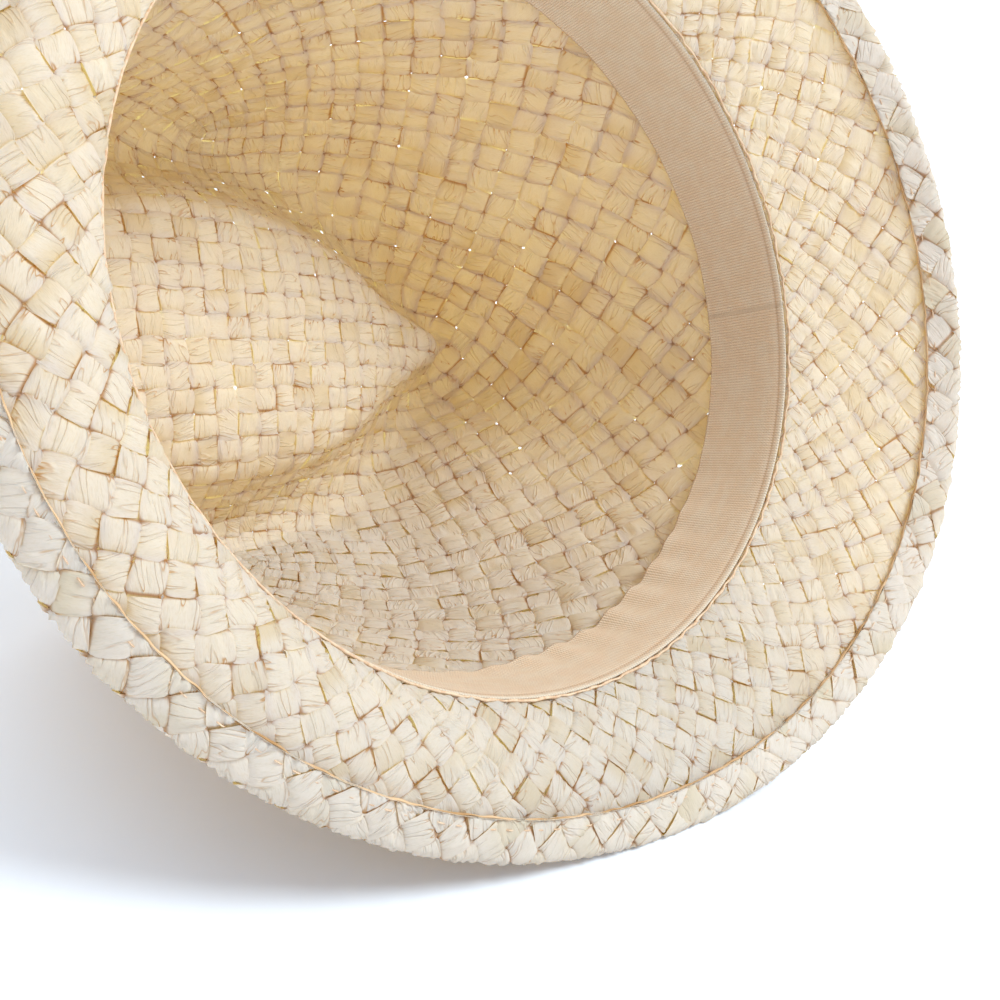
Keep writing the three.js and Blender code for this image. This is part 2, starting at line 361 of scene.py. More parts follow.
    def fold_frame(self, azimuth: Array, travel: Array) -> tuple[Array, Array]:
        """Points and outer directions along the brim, round its rim and back along the hem under it.

        Args:
            azimuth: Angles round the hat, in radians.
            travel: Lengths of straw from the crown's foot, in millimetres.

        Returns:
            The points and the directions away from the inside of the fold.
        """
        width = self.brim.at(azimuth)
        bend = self.thickness / 2
        turn_at = width - self.thickness
        turn = np.clip((travel - turn_at) / bend, 0, np.pi)
        back = np.clip(travel - turn_at - np.pi * bend, 0, self.hem_width - self.thickness)
        reach = np.minimum(travel, turn_at) + bend * np.sin(turn) - back
        points, normal, along = self.brim_frame(azimuth, reach)
        offset = -bend + bend * np.cos(turn)
        outer = normal * np.cos(turn)[..., None] + along * np.sin(turn)[..., None]
        return points + normal * offset[..., None], outer


# Where the hat lies: how its axes turn into the world's, and where its opening's middle is, in millimetres.
LAID_TURN = np.array(
    [
        (0.9935612, -0.0960114, -0.0601497),
        (0.0, -0.5309033, 0.8474324),
        (-0.1132969, -0.8419759, -0.5274849),
    ]
)
LAID_PLACE = np.array([-6.41595, -24.01754, 95.82809])


def to_world(points: Array) -> Array:
    """Lay points of the hat's frame down where its solids lie, in metres."""
    return (points @ LAID_TURN.T + LAID_PLACE) * MM


# Materials


def linear(colour: str) -> tuple[float, float, float, float]:
    """Turn an sRGB hex colour into the linear one that a shader takes.

    Args:
        colour: The hex text.

    Returns:
        Red, green, blue and an alpha of 1.
    """
    parts = [int(colour[k : k + 2], 16) / 255 for k in (1, 3, 5)]
    red, green, blue = (p / 12.92 if p <= 0.04045 else ((p + 0.055) / 1.055) ** 2.4 for p in parts)
    return (red, green, blue, 1.0)


# The interpolation of every share that rises smoothly.
SMOOTH = {"interpolation_type": "SMOOTHSTEP"}


def add_node(
    tree: bpy.types.NodeTree,
    kind: str,
    settings: dict[str, object] | None = None,
    values: dict[int | str, object] | None = None,
    links: dict[int | str, bpy.types.NodeSocket] | None = None,
) -> bpy.types.Node:
    """Add a node with its settings, its fixed input values and its links.

    Args:
        tree: The material's node tree.
        kind: The node's type name.
        settings: The node's own properties.
        values: Fixed values of its inputs.
        links: The output that feeds each linked input.

    Returns:
        The node.
    """
    node = tree.nodes.new(kind)
    for name, value in (settings or {}).items():
        setattr(node, name, value)
    for key, value in (values or {}).items():
        node.inputs[key].default_value = value
    for key, output in (links or {}).items():
        tree.links.new(output, node.inputs[key])
    return node


def lay_colours(
    tree: bpy.types.NodeTree, ground: str, layers: list[tuple[bpy.types.NodeSocket, str]]
) -> bpy.types.NodeSocket:
    """Lay colours one over the other on a ground colour.

    Args:
        tree: The material's node tree.
        ground: The ground colour's hex text.
        layers: For each colour, the output that says how much of it shows, and its hex text.

    Returns:
        The output of the finished colour.
    """
    below: bpy.types.NodeSocket | None = None
    for share, colour in layers:
        values: dict[int | str, object] = {7: linear(colour)}
        links = {0: share}
        if below is None:
            values[6] = linear(ground)
        else:
            links[6] = below
        below = add_node(tree, "ShaderNodeMix", {"data_type": "RGBA"}, values, links).outputs[2]
    return below


def shares_of(
    tree: bpy.types.NodeTree,
    patterns: dict[str, bpy.types.NodeSocket],
    table: tuple[tuple[str, float, float, float, float], ...],
) -> dict[str, bpy.types.NodeSocket]:
    """Turn patterns into how much of a colour shows, smoothly between two of their values.

    Args:
        tree: The material's node tree.
        patterns: The patterns' outputs by name.
        table: Each pattern's name, its low and high value, and the share shown at each.

    Returns:
        The shares' outputs by the same names.
    """
    shares = {}
    for name, low, high, at_low, at_high in table:
        span = {1: low, 2: high, 3: at_low, 4: at_high}
        shares[name] = add_node(tree, "ShaderNodeMapRange", SMOOTH, span, {0: patterns[name]}).outputs[0]
    return shares


def noises_of(
    tree: bpy.types.NodeTree,
    place: bpy.types.NodeSocket,
    table: tuple[tuple[str, tuple[float, float], float, float], ...],
) -> dict[str, bpy.types.NodeSocket]:
    """Make flat noises that follow a piece's own map.

    Args:
        tree: The material's node tree.
        place: The map's output, in millimetres.
        table: Each noise's name, its marks per millimetre both ways of the map, its detail and its roughness.

    Returns:
        The noises' outputs by name.
    """
    noises = {}
    for name, per_mm, detail, roughness in table:
        scaled = add_node(tree, "ShaderNodeMapping", values={3: (*per_mm, 1.0)}, links={0: place}).outputs[0]
        values = {2: 1.0, 3: detail, 4: roughness}
        settings = {"noise_dimensions": "2D"}
        noises[name] = add_node(tree, "ShaderNodeTexNoise", settings, values, {0: scaled}).outputs[0]
    return noises


def empty_material(name: str) -> tuple[bpy.types.Material, bpy.types.NodeTree]:
    """Make a material without nodes.

    Args:
        name: The material's name.

    Returns:
        The material and its node tree.
    """
    material = bpy.data.materials.new(name)
    material.use_nodes = True
    material.node_tree.nodes.clear()
    return material, material.node_tree


@dataclass(frozen=True)
class PaperStraw:
    """Twisted paper straw, pressed flat: strips of crumpled cream paper that let some warm light through.

    The pleats that run along each strip are about a millimetre and a half apart. Painted shade makes the
    paper darker and more orange where one strip dips under the next, as most of the light there has passed
    through paper, and in the creases of its pleats.

    Attributes:
        name: The material's name.
        cream: The paper's ground colour.
        tan: The colour of its darker strips and fibres.
        crease: The painted shade in its creases, where the pleats are gathered.
        crevice_shade: The painted shade where it dips under another strip.
        through: The tint of the light that passes it.
        pleats_per_mm: Pleats across and along the strip.
        fibres_per_mm: Fibres across and along it.
        patches_per_mm: Gathered patches across and along it.
        folds: Creases for each rise of the pleats.
        crease_depth_mm: Depth of a crease.
        translucence: Share of the light that passes.
    """

    name: str = "paper straw, crumpled and woven"
    cream: str = "#F7F3E8"
    tan: str = "#E4D2A4"
    crease: str = "#CF9D5C"
    crevice_shade: str = "#B57C3C"
    through: str = "#F8DE8E"
    pleats_per_mm: tuple[float, float] = (0.6, 0.09)
    fibres_per_mm: tuple[float, float] = (4.5, 0.9)
    patches_per_mm: tuple[float, float] = (0.22, 0.2)
    folds: float = 2.6
    crease_depth_mm: float = 0.4
    translucence: float = 0.5

    def make(self) -> bpy.types.Material:
        """Build the material.

        Returns:
            The material.
        """
        material, tree = empty_material(self.name)
        patterns = self._patterns(tree)
        body = self._colour(tree, patterns)
        bump = self._relief(tree, patterns)
        # Calendered paper is nearly matt, with a faint sheen along the folds.
        paper = add_node(
            tree,
            "ShaderNodeBsdfPrincipled",
            values={"Roughness": 0.62, "IOR": 1.45, "Specular IOR Level": 0.32},
            links={"Base Color": body, "Normal": bump},
        ).outputs[0]
        # Thin cream paper passes light and turns it golden, which makes the dent in the tip glow.
        warm = add_node(
            tree,
            "ShaderNodeMix",
            {"data_type": "RGBA", "blend_type": "MULTIPLY"},
            {0: 1.0, 6: linear(self.through)},
            {7: body},
        ).outputs[2]
        glow = add_node(tree, "ShaderNodeBsdfTranslucent", links={"Color": warm, "Normal": bump}).outputs[0]
        both = add_node(tree, "ShaderNodeMixShader", values={0: self.translucence}, links={1: paper, 2: glow})
        add_node(tree, "ShaderNodeOutputMaterial", links={0: both.outputs[0]})
        return material

    def _patterns(self, tree: bpy.types.NodeTree) -> dict[str, bpy.types.NodeSocket]:
        """Read the marks that the weaver left on each strip and add the paper's own.

        Args:
            tree: The material's node tree.

        Returns:
            The patterns' outputs by name.
        """
        strip = add_node(tree, "ShaderNodeUVMap", {"uv_map": "strip"}).outputs[0]
        table = (
            ("pleats", self.pleats_per_mm, 1.0, 0.5),
            ("fibres", self.fibres_per_mm, 1.0, 0.5),
            ("patches", self.patches_per_mm, 0.0, 0.5),
        )
        patterns = noises_of(tree, strip, table)
        for name in ("tuck_shade", "tone", "gather"):
            patterns[name] = add_node(tree, "ShaderNodeAttribute", {"attribute_name": name}).outputs[2]
        doubled = add_node(
            tree, "ShaderNodeMath", {"operation": "MULTIPLY"}, {1: self.folds}, {0: patterns["pleats"]}
        ).outputs[0]
        patterns["ridge"] = add_node(
            tree, "ShaderNodeMath", {"operation": "PINGPONG"}, {1: 0.5}, {0: doubled}
        ).outputs[0]
        return patterns

    def _colour(
        self, tree: bpy.types.NodeTree, patterns: dict[str, bpy.types.NodeSocket]
    ) -> bpy.types.NodeSocket:
        """Colour the paper: darker strips and fibres, and painted shade in thin creases where it is gathered
        and in crevices.

        Args:
            tree: The material's node tree.
            patterns: The patterns' outputs by name.

        Returns:
            The colour's output.
        """
        table = (
            ("tone", 0.15, 1.0, 0.0, 0.5),
            ("fibres", 0.45, 0.75, 0.0, 0.2),
            ("patches", 0.45, 0.7, 0.0, 0.6),
            ("gather", 0.1, 0.7, 0.0, 1.0),
            ("ridge", 0.0, 0.07, 0.85, 0.0),
            ("tuck_shade", 0.25, 0.95, 0.0, 0.75),
        )
        shares = shares_of(tree, patterns, table)
        gathered = add_node(
            tree,
            "ShaderNodeMath",
            {"operation": "MAXIMUM"},
            links={0: shares["patches"], 1: shares["gather"]},
        ).outputs[0]
        # Painted shade in the pleats' creases, strongest where the strip is gathered.
        crease = add_node(
            tree, "ShaderNodeMath", {"operation": "MULTIPLY"}, links={0: shares["ridge"], 1: gathered}
        ).outputs[0]
        # The last two layers are painted shade: darker, more orange paper in the pleats' creases and where a
        # strip dips under the next.
        layers = [
            (shares["tone"], self.tan),
            (shares["fibres"], self.tan),
            (crease, self.crease),
            (shares["tuck_shade"], self.crevice_shade),
        ]
        return lay_colours(tree, self.cream, layers)

    def _relief(
        self, tree: bpy.types.NodeTree, patterns: dict[str, bpy.types.NodeSocket]
    ) -> bpy.types.NodeSocket:
        """Raise the paper between its creases and roughen it with its fibres.

        Args:
            tree: The material's node tree.
            patterns: The patterns' outputs by name.

        Returns:
            The bent normal's output.
        """
        fold = add_node(
            tree,
            "ShaderNodeMapRange",
            {"interpolation_type": "SMOOTHERSTEP"},
            {1: 0.0, 2: 0.2, 3: 0.0, 4: 1.0},
            {0: patterns["ridge"]},
        ).outputs[0]
        height = add_node(
            tree,
            "ShaderNodeMath",
            {"operation": "MULTIPLY_ADD"},
            {1: 0.3},
            {0: patterns["fibres"], 2: fold},
        ).outputs[0]
        values = {0: 0.5, 1: self.crease_depth_mm * MM}
        return add_node(tree, "ShaderNodeBump", values=values, links={3: height}).outputs[0]


@dataclass(frozen=True)
class CottonTape:
    """Grosgrain cotton tape: fine ribs across a beige tape, with a paler woven edge at its seam.

    Attributes:
        name: The material's name.
        beige: The tape's ground colour.
        pale: The colour of its edge and of its lighter patches.
        groove: The painted shade between its ribs and along its stitches.
        rib_mm: Distance from one rib to the next.
        rib_depth_mm: Depth of the grooves.
        mottles_per_mm: Lighter patches along and across it.
    """

    name: str = "cotton grosgrain tape"
    beige: str = "#E6CAA9"
    pale: str = "#EADBC2"
    groove: str = "#BE946E"
    rib_mm: float = 0.75
    rib_depth_mm: float = 0.2
    mottles_per_mm: tuple[float, float] = (0.12, 0.3)

    def make(self) -> bpy.types.Material:
        """Build the material.

        Returns:
            The material.
        """
        material, tree = empty_material(self.name)
        patterns = self._patterns(tree)
        table = (
            ("mottle", 0.35, 0.7, 0.0, 0.4),
            ("rib", 0.1, 1.0, 0.0, 0.5),
            ("weave", 0.0, 1.0, 0.0, 0.25),
            ("edge", 0.0, 1.0, 0.0, 0.6),
            ("stitch", 0.0, 1.0, 0.0, 0.6),
        )
        shares = shares_of(tree, patterns, table)
        # The rib, weave and stitch layers are painted shade in the grooves between the ribs and threads and
        # along the sunken stitches; the mottle and edge layers are the tape's own paler colour.
        colours = {
            "mottle": self.pale,
            "rib": self.groove,
            "weave": self.groove,
            "edge": self.pale,
            "stitch": self.groove,
        }
        body = lay_colours(tree, self.beige, [(shares[name], colour) for name, colour in colours.items()])
        height = add_node(
            tree,
            "ShaderNodeMath",
            {"operation": "MULTIPLY_ADD"},
            {1: 0.6},
            {0: patterns["weave"], 2: patterns["rib"]},
        ).outputs[0]
        values = {0: 0.5, 1: self.rib_depth_mm * MM}
        bump = add_node(tree, "ShaderNodeBump", values=values, links={3: height}).outputs[0]
        # Cotton scatters light all round and has a little fuzz, so it looks soft and dry beside the paper.
        cloth = add_node(
            tree,
            "ShaderNodeBsdfPrincipled",
            values={"Roughness": 0.88, "IOR": 1.46, "Specular IOR Level": 0.2, "Sheen Weight": 0.15},
            links={"Base Color": body, "Normal": bump},
        ).outputs[0]
        add_node(tree, "ShaderNodeOutputMaterial", links={0: cloth})
        return material

    def _patterns(self, tree: bpy.types.NodeTree) -> dict[str, bpy.types.NodeSocket]:
        """Work out the ribs, the threads between them, the mottling, and the tape's edge and stitch line.

        Args:
            tree: The material's node tree.

        Returns:
            The patterns' outputs by name.
        """
        tape = add_node(tree, "ShaderNodeUVMap", {"uv_map": "strip"}).outputs[0]
        parts = add_node(tree, "ShaderNodeSeparateXYZ", links={0: tape})
        patterns = noises_of(tree, tape, (("mottle", self.mottles_per_mm, 3.0, 0.6),))
        turns = 2 * math.pi / self.rib_mm
        for name, way, rate in (("rib", 0, turns), ("thread", 1, turns * 0.9)):
            angle = add_node(
                tree, "ShaderNodeMath", {"operation": "MULTIPLY"}, {1: rate}, {0: parts.outputs[way]}
            ).outputs[0]
            wave = add_node(tree, "ShaderNodeMath", {"operation": "SINE"}, links={0: angle})
            patterns[name] = wave.outputs[0]
        patterns["weave"] = add_node(
            tree,
            "ShaderNodeMath",
            {"operation": "MULTIPLY"},
            links={0: patterns["rib"], 1: patterns["thread"]},
        ).outputs[0]
        for name in ("edge", "stitch"):
            patterns[name] = add_node(tree, "ShaderNodeAttribute", {"attribute_name": name}).outputs[2]
        return patterns


@dataclass(frozen=True)
class Plain:
    """One smooth finish with a little mottling: the sewing thread and the straw's cut ends.

    Attributes:
        name: The material's name.
        colour: Its ground colour.
        second: The colour of its mottles.
        roughness: How matt it is.
        grain_per_metre: Mottles per metre.
    """

    name: str
    colour: str
    second: str
    roughness: float
    grain_per_metre: float

    def make(self) -> bpy.types.Material:
        """Build the material.

        Returns:
            The material.
        """
        material, tree = empty_material(self.name)
        place = add_node(tree, "ShaderNodeTexCoord").outputs[3]
        values = {2: self.grain_per_metre, 3: 3.0, 4: 0.6}
        noise = add_node(tree, "ShaderNodeTexNoise", values=values, links={0: place}).outputs[0]
        shares = shares_of(tree, {"mottle": noise}, (("mottle", 0.35, 0.7, 0.0, 1.0),))
        body = lay_colours(tree, self.colour, [(shares["mottle"], self.second)])
        # Thread and cut paper are dry and matt, and the mottling breaks up their colour.
        shader = add_node(
            tree,
            "ShaderNodeBsdfPrincipled",
            values={"Roughness": self.roughness, "IOR": 1.45, "Specular IOR Level": 0.2},
            links={"Base Color": body},
        ).outputs[0]
        add_node(tree, "ShaderNodeOutputMaterial", links={0: shader})
        return material


# Woven straw


@dataclass
class Strip:
    """One paper strip: the places of its two edges at each crossing, and which side it shows first.

    Attributes:
        left: Chart places of its left edge, one for each crossing line.
        right: Chart places of its right edge.
        first_sign: 1 if it lies on the outer side between its first two lines, else -1.
    """

    left: Array
    right: Array
    first_sign: int


@dataclass
class StripPoints:
    """One strip's points, in rows along it and columns across it.

    Attributes:
        place: Places on the chart.
        height: Heights above the straw's middle, in millimetres.
        marks: How much painted shade each point gets where it is tucked in, how dark its tone is and how
            gathered it is, by name.
        strip_map: Places on the strip itself, in millimetres.
    """

    place: Array
    height: Array
    marks: dict[str, Array]
    strip_map: Array


class Chart(Enum):
    """The part of the hat that a set of strips covers."""

    CROWN = "crown"
    BRIM = "brim"


@dataclass
class StripWeaver:
    """Turns strips into one mesh, each passing over and under the others and crumpled lengthwise.

    Attributes:
        shape: The hat.
        chart: The part that the strips cover.
        seed: The source of the strips' crumples.
        pitch: How far apart the strips lie on their own map, in millimetres.
        layer: How far a strip's edge rises over the straw's middle, in millimetres.
        dome: How much further its middle rises.
        crumple: How far its crumples rise and fall.
        fill: A strip's width as a share of its lane.
        uneven: How much that share varies.
        pinch: How much of its width a strip loses where it dives.
        sideways: How far it wanders in its lane.
        slump: How far it rises and falls as a whole, in millimetres.
        stiffness: How long it stays level before it dives.
        twist: How far its pleats turn across it, in millimetres.
        dived_crumple: Share of its crumples that is left where it dives.
        edge_calm: Share of them that is gone at its edges.
        shade_strength_range: Range of the draw that says how strong the painted shade is at a place, held
            between 0 and 1.
        least_tuck_shade: The painted shade where a strip dives, at places where that draw is lowest.
        edge_tuck_shade: The painted shade along its edges, at places where that draw is highest.
        strip_tone: Mean and spread of a strip's own darkness.
        place_tone: Mean and spread of the darkness of its places.
        gather_reach: How far from a crossing line its pleats are still gathered.
        steps: Where its rows of points lie between two crossings.
        lanes: Where its columns of points lie, from edge to edge.
    """

    shape: HatShape
    chart: Chart
    seed: int
    pitch: float
    layer: float = 0.46
    dome: float = 0.14
    crumple: float = 0.19
    fill: float = 1.12
    uneven: float = 0.14
    pinch: float = 0.13
    sideways: float = 0.06
    slump: float = 0.08
    stiffness: float = 2.9
    twist: float = 1.7
    dived_crumple: float = 0.4
    edge_calm: float = 0.6
    shade_strength_range: tuple[float, float] = (-0.3, 1.3)
    least_tuck_shade: float = 0.25
    edge_tuck_shade: float = 0.55
    strip_tone: tuple[float, float] = (0.1, 0.15)
    place_tone: tuple[float, float] = (0.1, 0.35)
    gather_reach: float = 1.25
    steps: tuple[float, ...] = (0.0, 0.1, 0.27, 0.5, 0.73, 0.9)
    lanes: tuple[float, ...] = (-1.0, -0.88, -0.68, -0.45, -0.22, 0.0, 0.22, 0.45, 0.68, 0.88, 1.0)

    def weave(self, name: str, strips: list[Strip], material: bpy.types.Material) -> bpy.types.Object:
        """Build one mesh object of strips.

        Args:
            name: The object's name.
            strips: The strips.
            material: The straw.

        Returns:
            The object.
        """
        dice = np.random.default_rng(self.seed)
        laid = [self._strip(strip, dice) for strip in strips]
        faces, start = [], 0
        for one in laid:
            rows, columns = one.height.shape
            corner = start + np.arange(rows * columns).reshape(rows, columns)
            quads = np.stack([corner[:-1, :-1], corner[:-1, 1:], corner[1:, 1:], corner[1:, :-1]], -1)
            faces.append(quads.reshape(-1, 4))
            start += rows * columns
        place = np.concatenate([one.place.reshape(-1, 2) for one in laid])
        if self.chart is Chart.CROWN:
            points, out = self.shape.crown_frame(place)
        else:
            points, out = self.shape.fold_frame(place[:, 0], place[:, 1])
        points = points + out * np.concatenate([one.height.ravel() for one in laid])[:, None]
        quads = self._face_out(points, out, np.concatenate(faces))
        built = mesh_object(name, to_world(points), quads, material)
        for mark in ("tuck_shade", "tone", "gather"):
            set_values(built, mark, np.concatenate([one.marks[mark].ravel() for one in laid]))
        set_map(built, np.concatenate([one.strip_map.reshape(-1, 2) for one in laid]))
        if self.chart is Chart.BRIM:
            doubled = place[:, 1] > self.shape.brim.at(place[:, 0]) - self.shape.hem_width
            built.data.polygons.foreach_set("material_index", doubled[quads].all(1).astype(np.int32))
        return built

    def _strip(self, strip: Strip, dice: np.random.Generator) -> StripPoints:
        """Lay out one strip's points.

        Args:
            strip: The strip.
            dice: The source of its crumples.

        Returns:
            Its points.
        """
        lines = len(strip.left)
        lanes = np.array(self.lanes)[None]
        at = (np.arange(lines - 1)[:, None] + np.array(self.steps)[None]).ravel()
        cell = np.floor(at).astype(int)
        arch = np.cos(np.pi * (at - cell - 0.5))
        wave = arch * np.where(cell % 2 == 0, 1, -1) * strip.first_sign
        side = np.tanh(self.stiffness * wave) / math.tanh(self.stiffness)
        dive = 1 - np.abs(side)
        width = self.fill + self.uneven * curve_through(dice.uniform(-1, 1, (lines, 1)), at)[:, 0]
        width = width * (1 - self.pinch * dive)
        shift = self.sideways * curve_through(dice.uniform(-1, 1, (lines, 1)), at)[:, 0]
        place = self._across(strip, at, 0.5 + shift[:, None] + width[:, None] * lanes / 2)
        pleats = curve_through(dice.normal(0, 1, (lines * 2, len(self.lanes))), at * 2) * self.crumple
        risen = (1 - self.dived_crumple) * np.abs(side)[:, None]
        fade = self.dived_crumple + risen * (1 - self.edge_calm * lanes**4)
        slump = self.slump * curve_through(dice.normal(0, 1, (lines, 1)), at)
        height = side[:, None] * (self.layer + self.dome * (1 - lanes**2)) + pleats * fade + slump
        # Painted shade: darker, more orange paper where the strip dives under the next and along its edges,
        # stronger at some places than others. The gather mark sets the painted shade of the creases.
        shade_strength = np.clip(curve_through(dice.uniform(*self.shade_strength_range, (lines, 1)), at), 0, 1)[:, 0]
        dived = dive * (self.least_tuck_shade + (1 - self.least_tuck_shade) * shade_strength)
        tuck_shade = dived[:, None] + self.edge_tuck_shade * shade_strength[:, None] * np.abs(lanes) ** 8
        own_tone = dice.normal(*self.strip_tone)
        tone = np.abs(own_tone + curve_through(dice.normal(*self.place_tone, (lines, 1)), at))
        gather = np.clip(self.gather_reach - np.abs(arch), 0, 1)[:, None] * shade_strength[:, None]
        level = np.zeros_like(height)
        marks = {"tuck_shade": np.clip(tuck_shade, 0, 1), "tone": np.clip(tone + level, 0, 1), "gather": gather + level}
        turn = self.twist * curve_through(dice.uniform(-1, 1, (lines, 1)), at)
        across = (lanes * 0.5 * self.pitch + turn + dice.uniform(0, 500)) + level
        return StripPoints(place, height, marks, np.stack([across, at[:, None] * self.pitch + level], -1))

    def _across(self, strip: Strip, at: Array, share: Array) -> Array:
        """Find the chart places at shares of the way from a strip's left to its right edge."""
        left, right = curve_through(strip.left, at), curve_through(strip.right, at)
        return left[:, None] + (right - left)[:, None] * share[..., None]

    def _face_out(self, points: Array, out: Array, quads: Array) -> Array:
        """Turn each face so that it looks to the straw's outer side.

        Args:
            points: The mesh's points.
            out: The straw's outer direction at each point.
            quads: The faces' corners.

        Returns:
            The faces' corners in the right order.
        """
        first, second = points[quads[:, 2]] - points[quads[:, 0]], points[quads[:, 3]] - points[quads[:, 1]]
        inwards = np.einsum("ij,ij->i", np.cross(first, second), out[quads[:, 0]]) < 0
        quads[inwards] = quads[inwards][:, ::-1]
        return quads


def curve_through(values: Array, at: Array) -> Array:
    """Read rows of values on a smooth curve through them.

    Args:
        values: One row for each whole number.
        at: Where the curve is read.

    Returns:
        One row for each place.
    """
    last = len(values) - 1
    row = np.clip(np.floor(at).astype(int), 0, last - 1)
    share = (at - row)[:, None]
    before, start, end, after = (values[np.clip(row + step, 0, last)] for step in (-1, 0, 1, 2))
    leaving, arriving = (end - before) / 2, (after - start) / 2
    cubic = 2 * (start - end) + leaving + arriving
    square = 3 * (end - start) - 2 * leaving - arriving
    return ((cubic * share + square) * share + leaving) * share + start


def swell(values: Array, middle: float, half: float) -> Array:
    """Rise softly to 1 round a middle value and fall back to 0.

    Args:
        values: Where the rise is read.
        middle: The value where it is 1.
        half: Half its width.

    Returns:
        The rise at each value.
    """
    return np.exp(-(((values - middle) / half) ** 2))


@dataclass
class CrownLattice:
    """The crossing points of the crown's strips.

    On the tip the strips run along and across the hat, inside a square that stands on its corners. They cross
    its edges on to the wall at 45 degrees, so three cells meet at each of its corners and four elsewhere.

    Attributes:
        shape: The hat.
        half: Strips from the tip's middle to each corner of the square.
        rows: Rows of crossings down the wall, from the square to the opening.
        spare: Rows past the last, for the ends of the strips.
        corner_reach: Length over the straw from the tip's middle to a corner, in millimetres.
        stop: The crown level where they end, behind the sweatband.
        widening: How much wider than long the tip's square is.
        rounds: How often the crossings are evened out.
        longest_move: How far a crossing may move on the chart in one round.
        index: Each crossing's number by its name.
        place: The crossings' chart places.
    """

    shape: HatShape
    half: int = 13
    rows: int = 24
    spare: int = 3
    corner_reach: float = 73.0
    stop: float = 9.66
    widening: float = 1.4
    rounds: int = 200
    longest_move: float = 0.12
    index: dict[tuple[int, int, int], int] = field(default_factory=dict)
    place: Array = field(default_factory=lambda: np.zeros((0, 2)))

    def node(self, x: int, y: int, upper: bool, ahead: bool) -> tuple[int, int, int]:
        """Name the crossing at a place of the flat chart, seen from one quarter of it.

        Args:
            x: Strip edges from the middle to the front.
            y: Strip edges from the middle to the left.
            upper: Whether the strip lies to the front of the middle.
            ahead: Whether the strip is followed to the left.

        Returns:
            A kind, 0 on the tip and 1 on the wall, and two whole numbers.
        """
        half = self.half
        if abs(x) + abs(y) <= half:
            return (0, x, y)
        if upper and ahead:
            around, row = y - x + half, x + y - half
        elif upper:
            around, row = 6 * half + x + y + half, x - y - half
        elif ahead:
            around, row = 2 * half - x - y + half, y - x - half
        else:
            around, row = 4 * half + x - y + half, -x - y - half
        return self._wall(around, row)

    def _wall(self, around: int, row: int) -> tuple[int, int, int]:
        """Name a crossing of the wall, or of the tip's square where the row is 0.

        Args:
            around: Half strips round the hat.
            row: Rows down the wall.

        Returns:
            The crossing's name.
        """
        half = self.half
        around %= 8 * half
        if row > 0:
            return (1, around, row)
        quarter, part = divmod(around, 2 * half)
        x, y = half - part // 2, part // 2
        for _ in range(quarter):
            x, y = -y, x
        return (0, x, y)

    def turned(self, name: tuple[int, int, int]) -> tuple[int, int, int]:
        """Name the crossing that lies a quarter turn further round.

        Args:
            name: A crossing's name.

        Returns:
            The other crossing's name.
        """
        kind, first, second = name
        if kind == 0:
            return (0, -second, first)
        return (1, (first + 2 * self.half) % (8 * self.half), second)

    def build(self) -> CrownLattice:
        """Place the crossings and even them out over the straw.

        Returns:
            The lattice itself.
        """
        half, rows = self.half, self.rows + self.spare
        along = range(-half, half + 1)
        names = [(0, x, y) for x in along for y in along if abs(x) + abs(y) <= half]
        names += [(1, a, r) for r in range(1, rows + 1) for a in range(8 * half) if (a + r) % 2 == 0]
        self.index = {name: k for k, name in enumerate(names)}
        self.place = self._first_places(np.array(names))
        self._even_out(names)
        return self

    def _first_places(self, names: Array) -> Array:
        """Place each crossing by its length over the straw from the tip's middle.

        Args:
            names: The crossings' names.

        Returns:
            Their chart places.
        """
        half = self.half
        kind, first, second = names.T
        part = (first % (2 * half)) / (2 * half)
        quarter = first // (2 * half)
        edge_x, edge_y = half * (1 - part), half * part
        for turn in (1, 2, 3):
            past = quarter >= turn
            edge_x, edge_y = np.where(past, -edge_y, edge_x), np.where(past, edge_x, edge_y)
        x, y = np.where(kind == 0, first, edge_x), np.where(kind == 0, second, edge_y)
        azimuth = np.arctan2(self.widening * y, x)
        wall_azimuth = first / (8 * half) * 2 * np.pi
        blend = np.where(kind == 0, 0, np.clip(second / 8, 0, 1))
        azimuth = azimuth + np.angle(np.exp(1j * (wall_azimuth - azimuth))) * blend
        levels = np.linspace(0, self.stop, 161)
        turns = np.repeat(azimuth[:, None], len(levels), 1)
        grid = self.shape.crown(turns, np.repeat(levels[None], len(names), 0))
        steps = np.linalg.norm(np.diff(grid, axis=1), axis=-1)
        lengths = np.concatenate([np.zeros((len(names), 1)), np.cumsum(steps, 1)], 1)
        reach = np.hypot(x, y) * self.corner_reach / half
        share = np.where(kind == 0, 0, second / self.rows)
        reach = reach + (lengths[:, -1] - reach) * share
        level = np.array([np.interp(r, row, levels) for r, row in zip(reach, lengths)])
        level = np.where(share > 1, self.stop + (share - 1) * self.rows * 0.02, level)
        return np.stack([level * np.cos(azimuth), level * np.sin(azimuth)], -1)

    def _neighbours(self, names: list[tuple[int, int, int]]) -> Array:
        """Find the crossings next to each one, up to four.

        Args:
            names: The crossings' names.

        Returns:
            Their numbers, -1 where there is none.
        """
        near = np.full((len(names), 4), -1)
        ways = ((1, 0), (-1, 0), (0, 1), (0, -1))
        for k, (kind, first, second) in enumerate(names):
            if kind == 0:
                found = {self.index.get((0, first + dx, second + dy), -1) for dx, dy in ways}
            else:
                beside = ((first + da, second + dr) for da in (1, -1) for dr in (1, -1))
                found = {self.index.get(self._wall(*spot), -1) for spot in beside}
            for slot, other in enumerate(sorted(found - {-1})):
                near[k, slot] = other
        for k, (kind, _, second) in enumerate(names):
            if kind == 1 and second == 1:
                for other in near[k][near[k] >= 0]:
                    if names[other][0] == 0 and k not in near[other]:
                        near[other, int(np.argmax(near[other] < 0))] = k
        return near

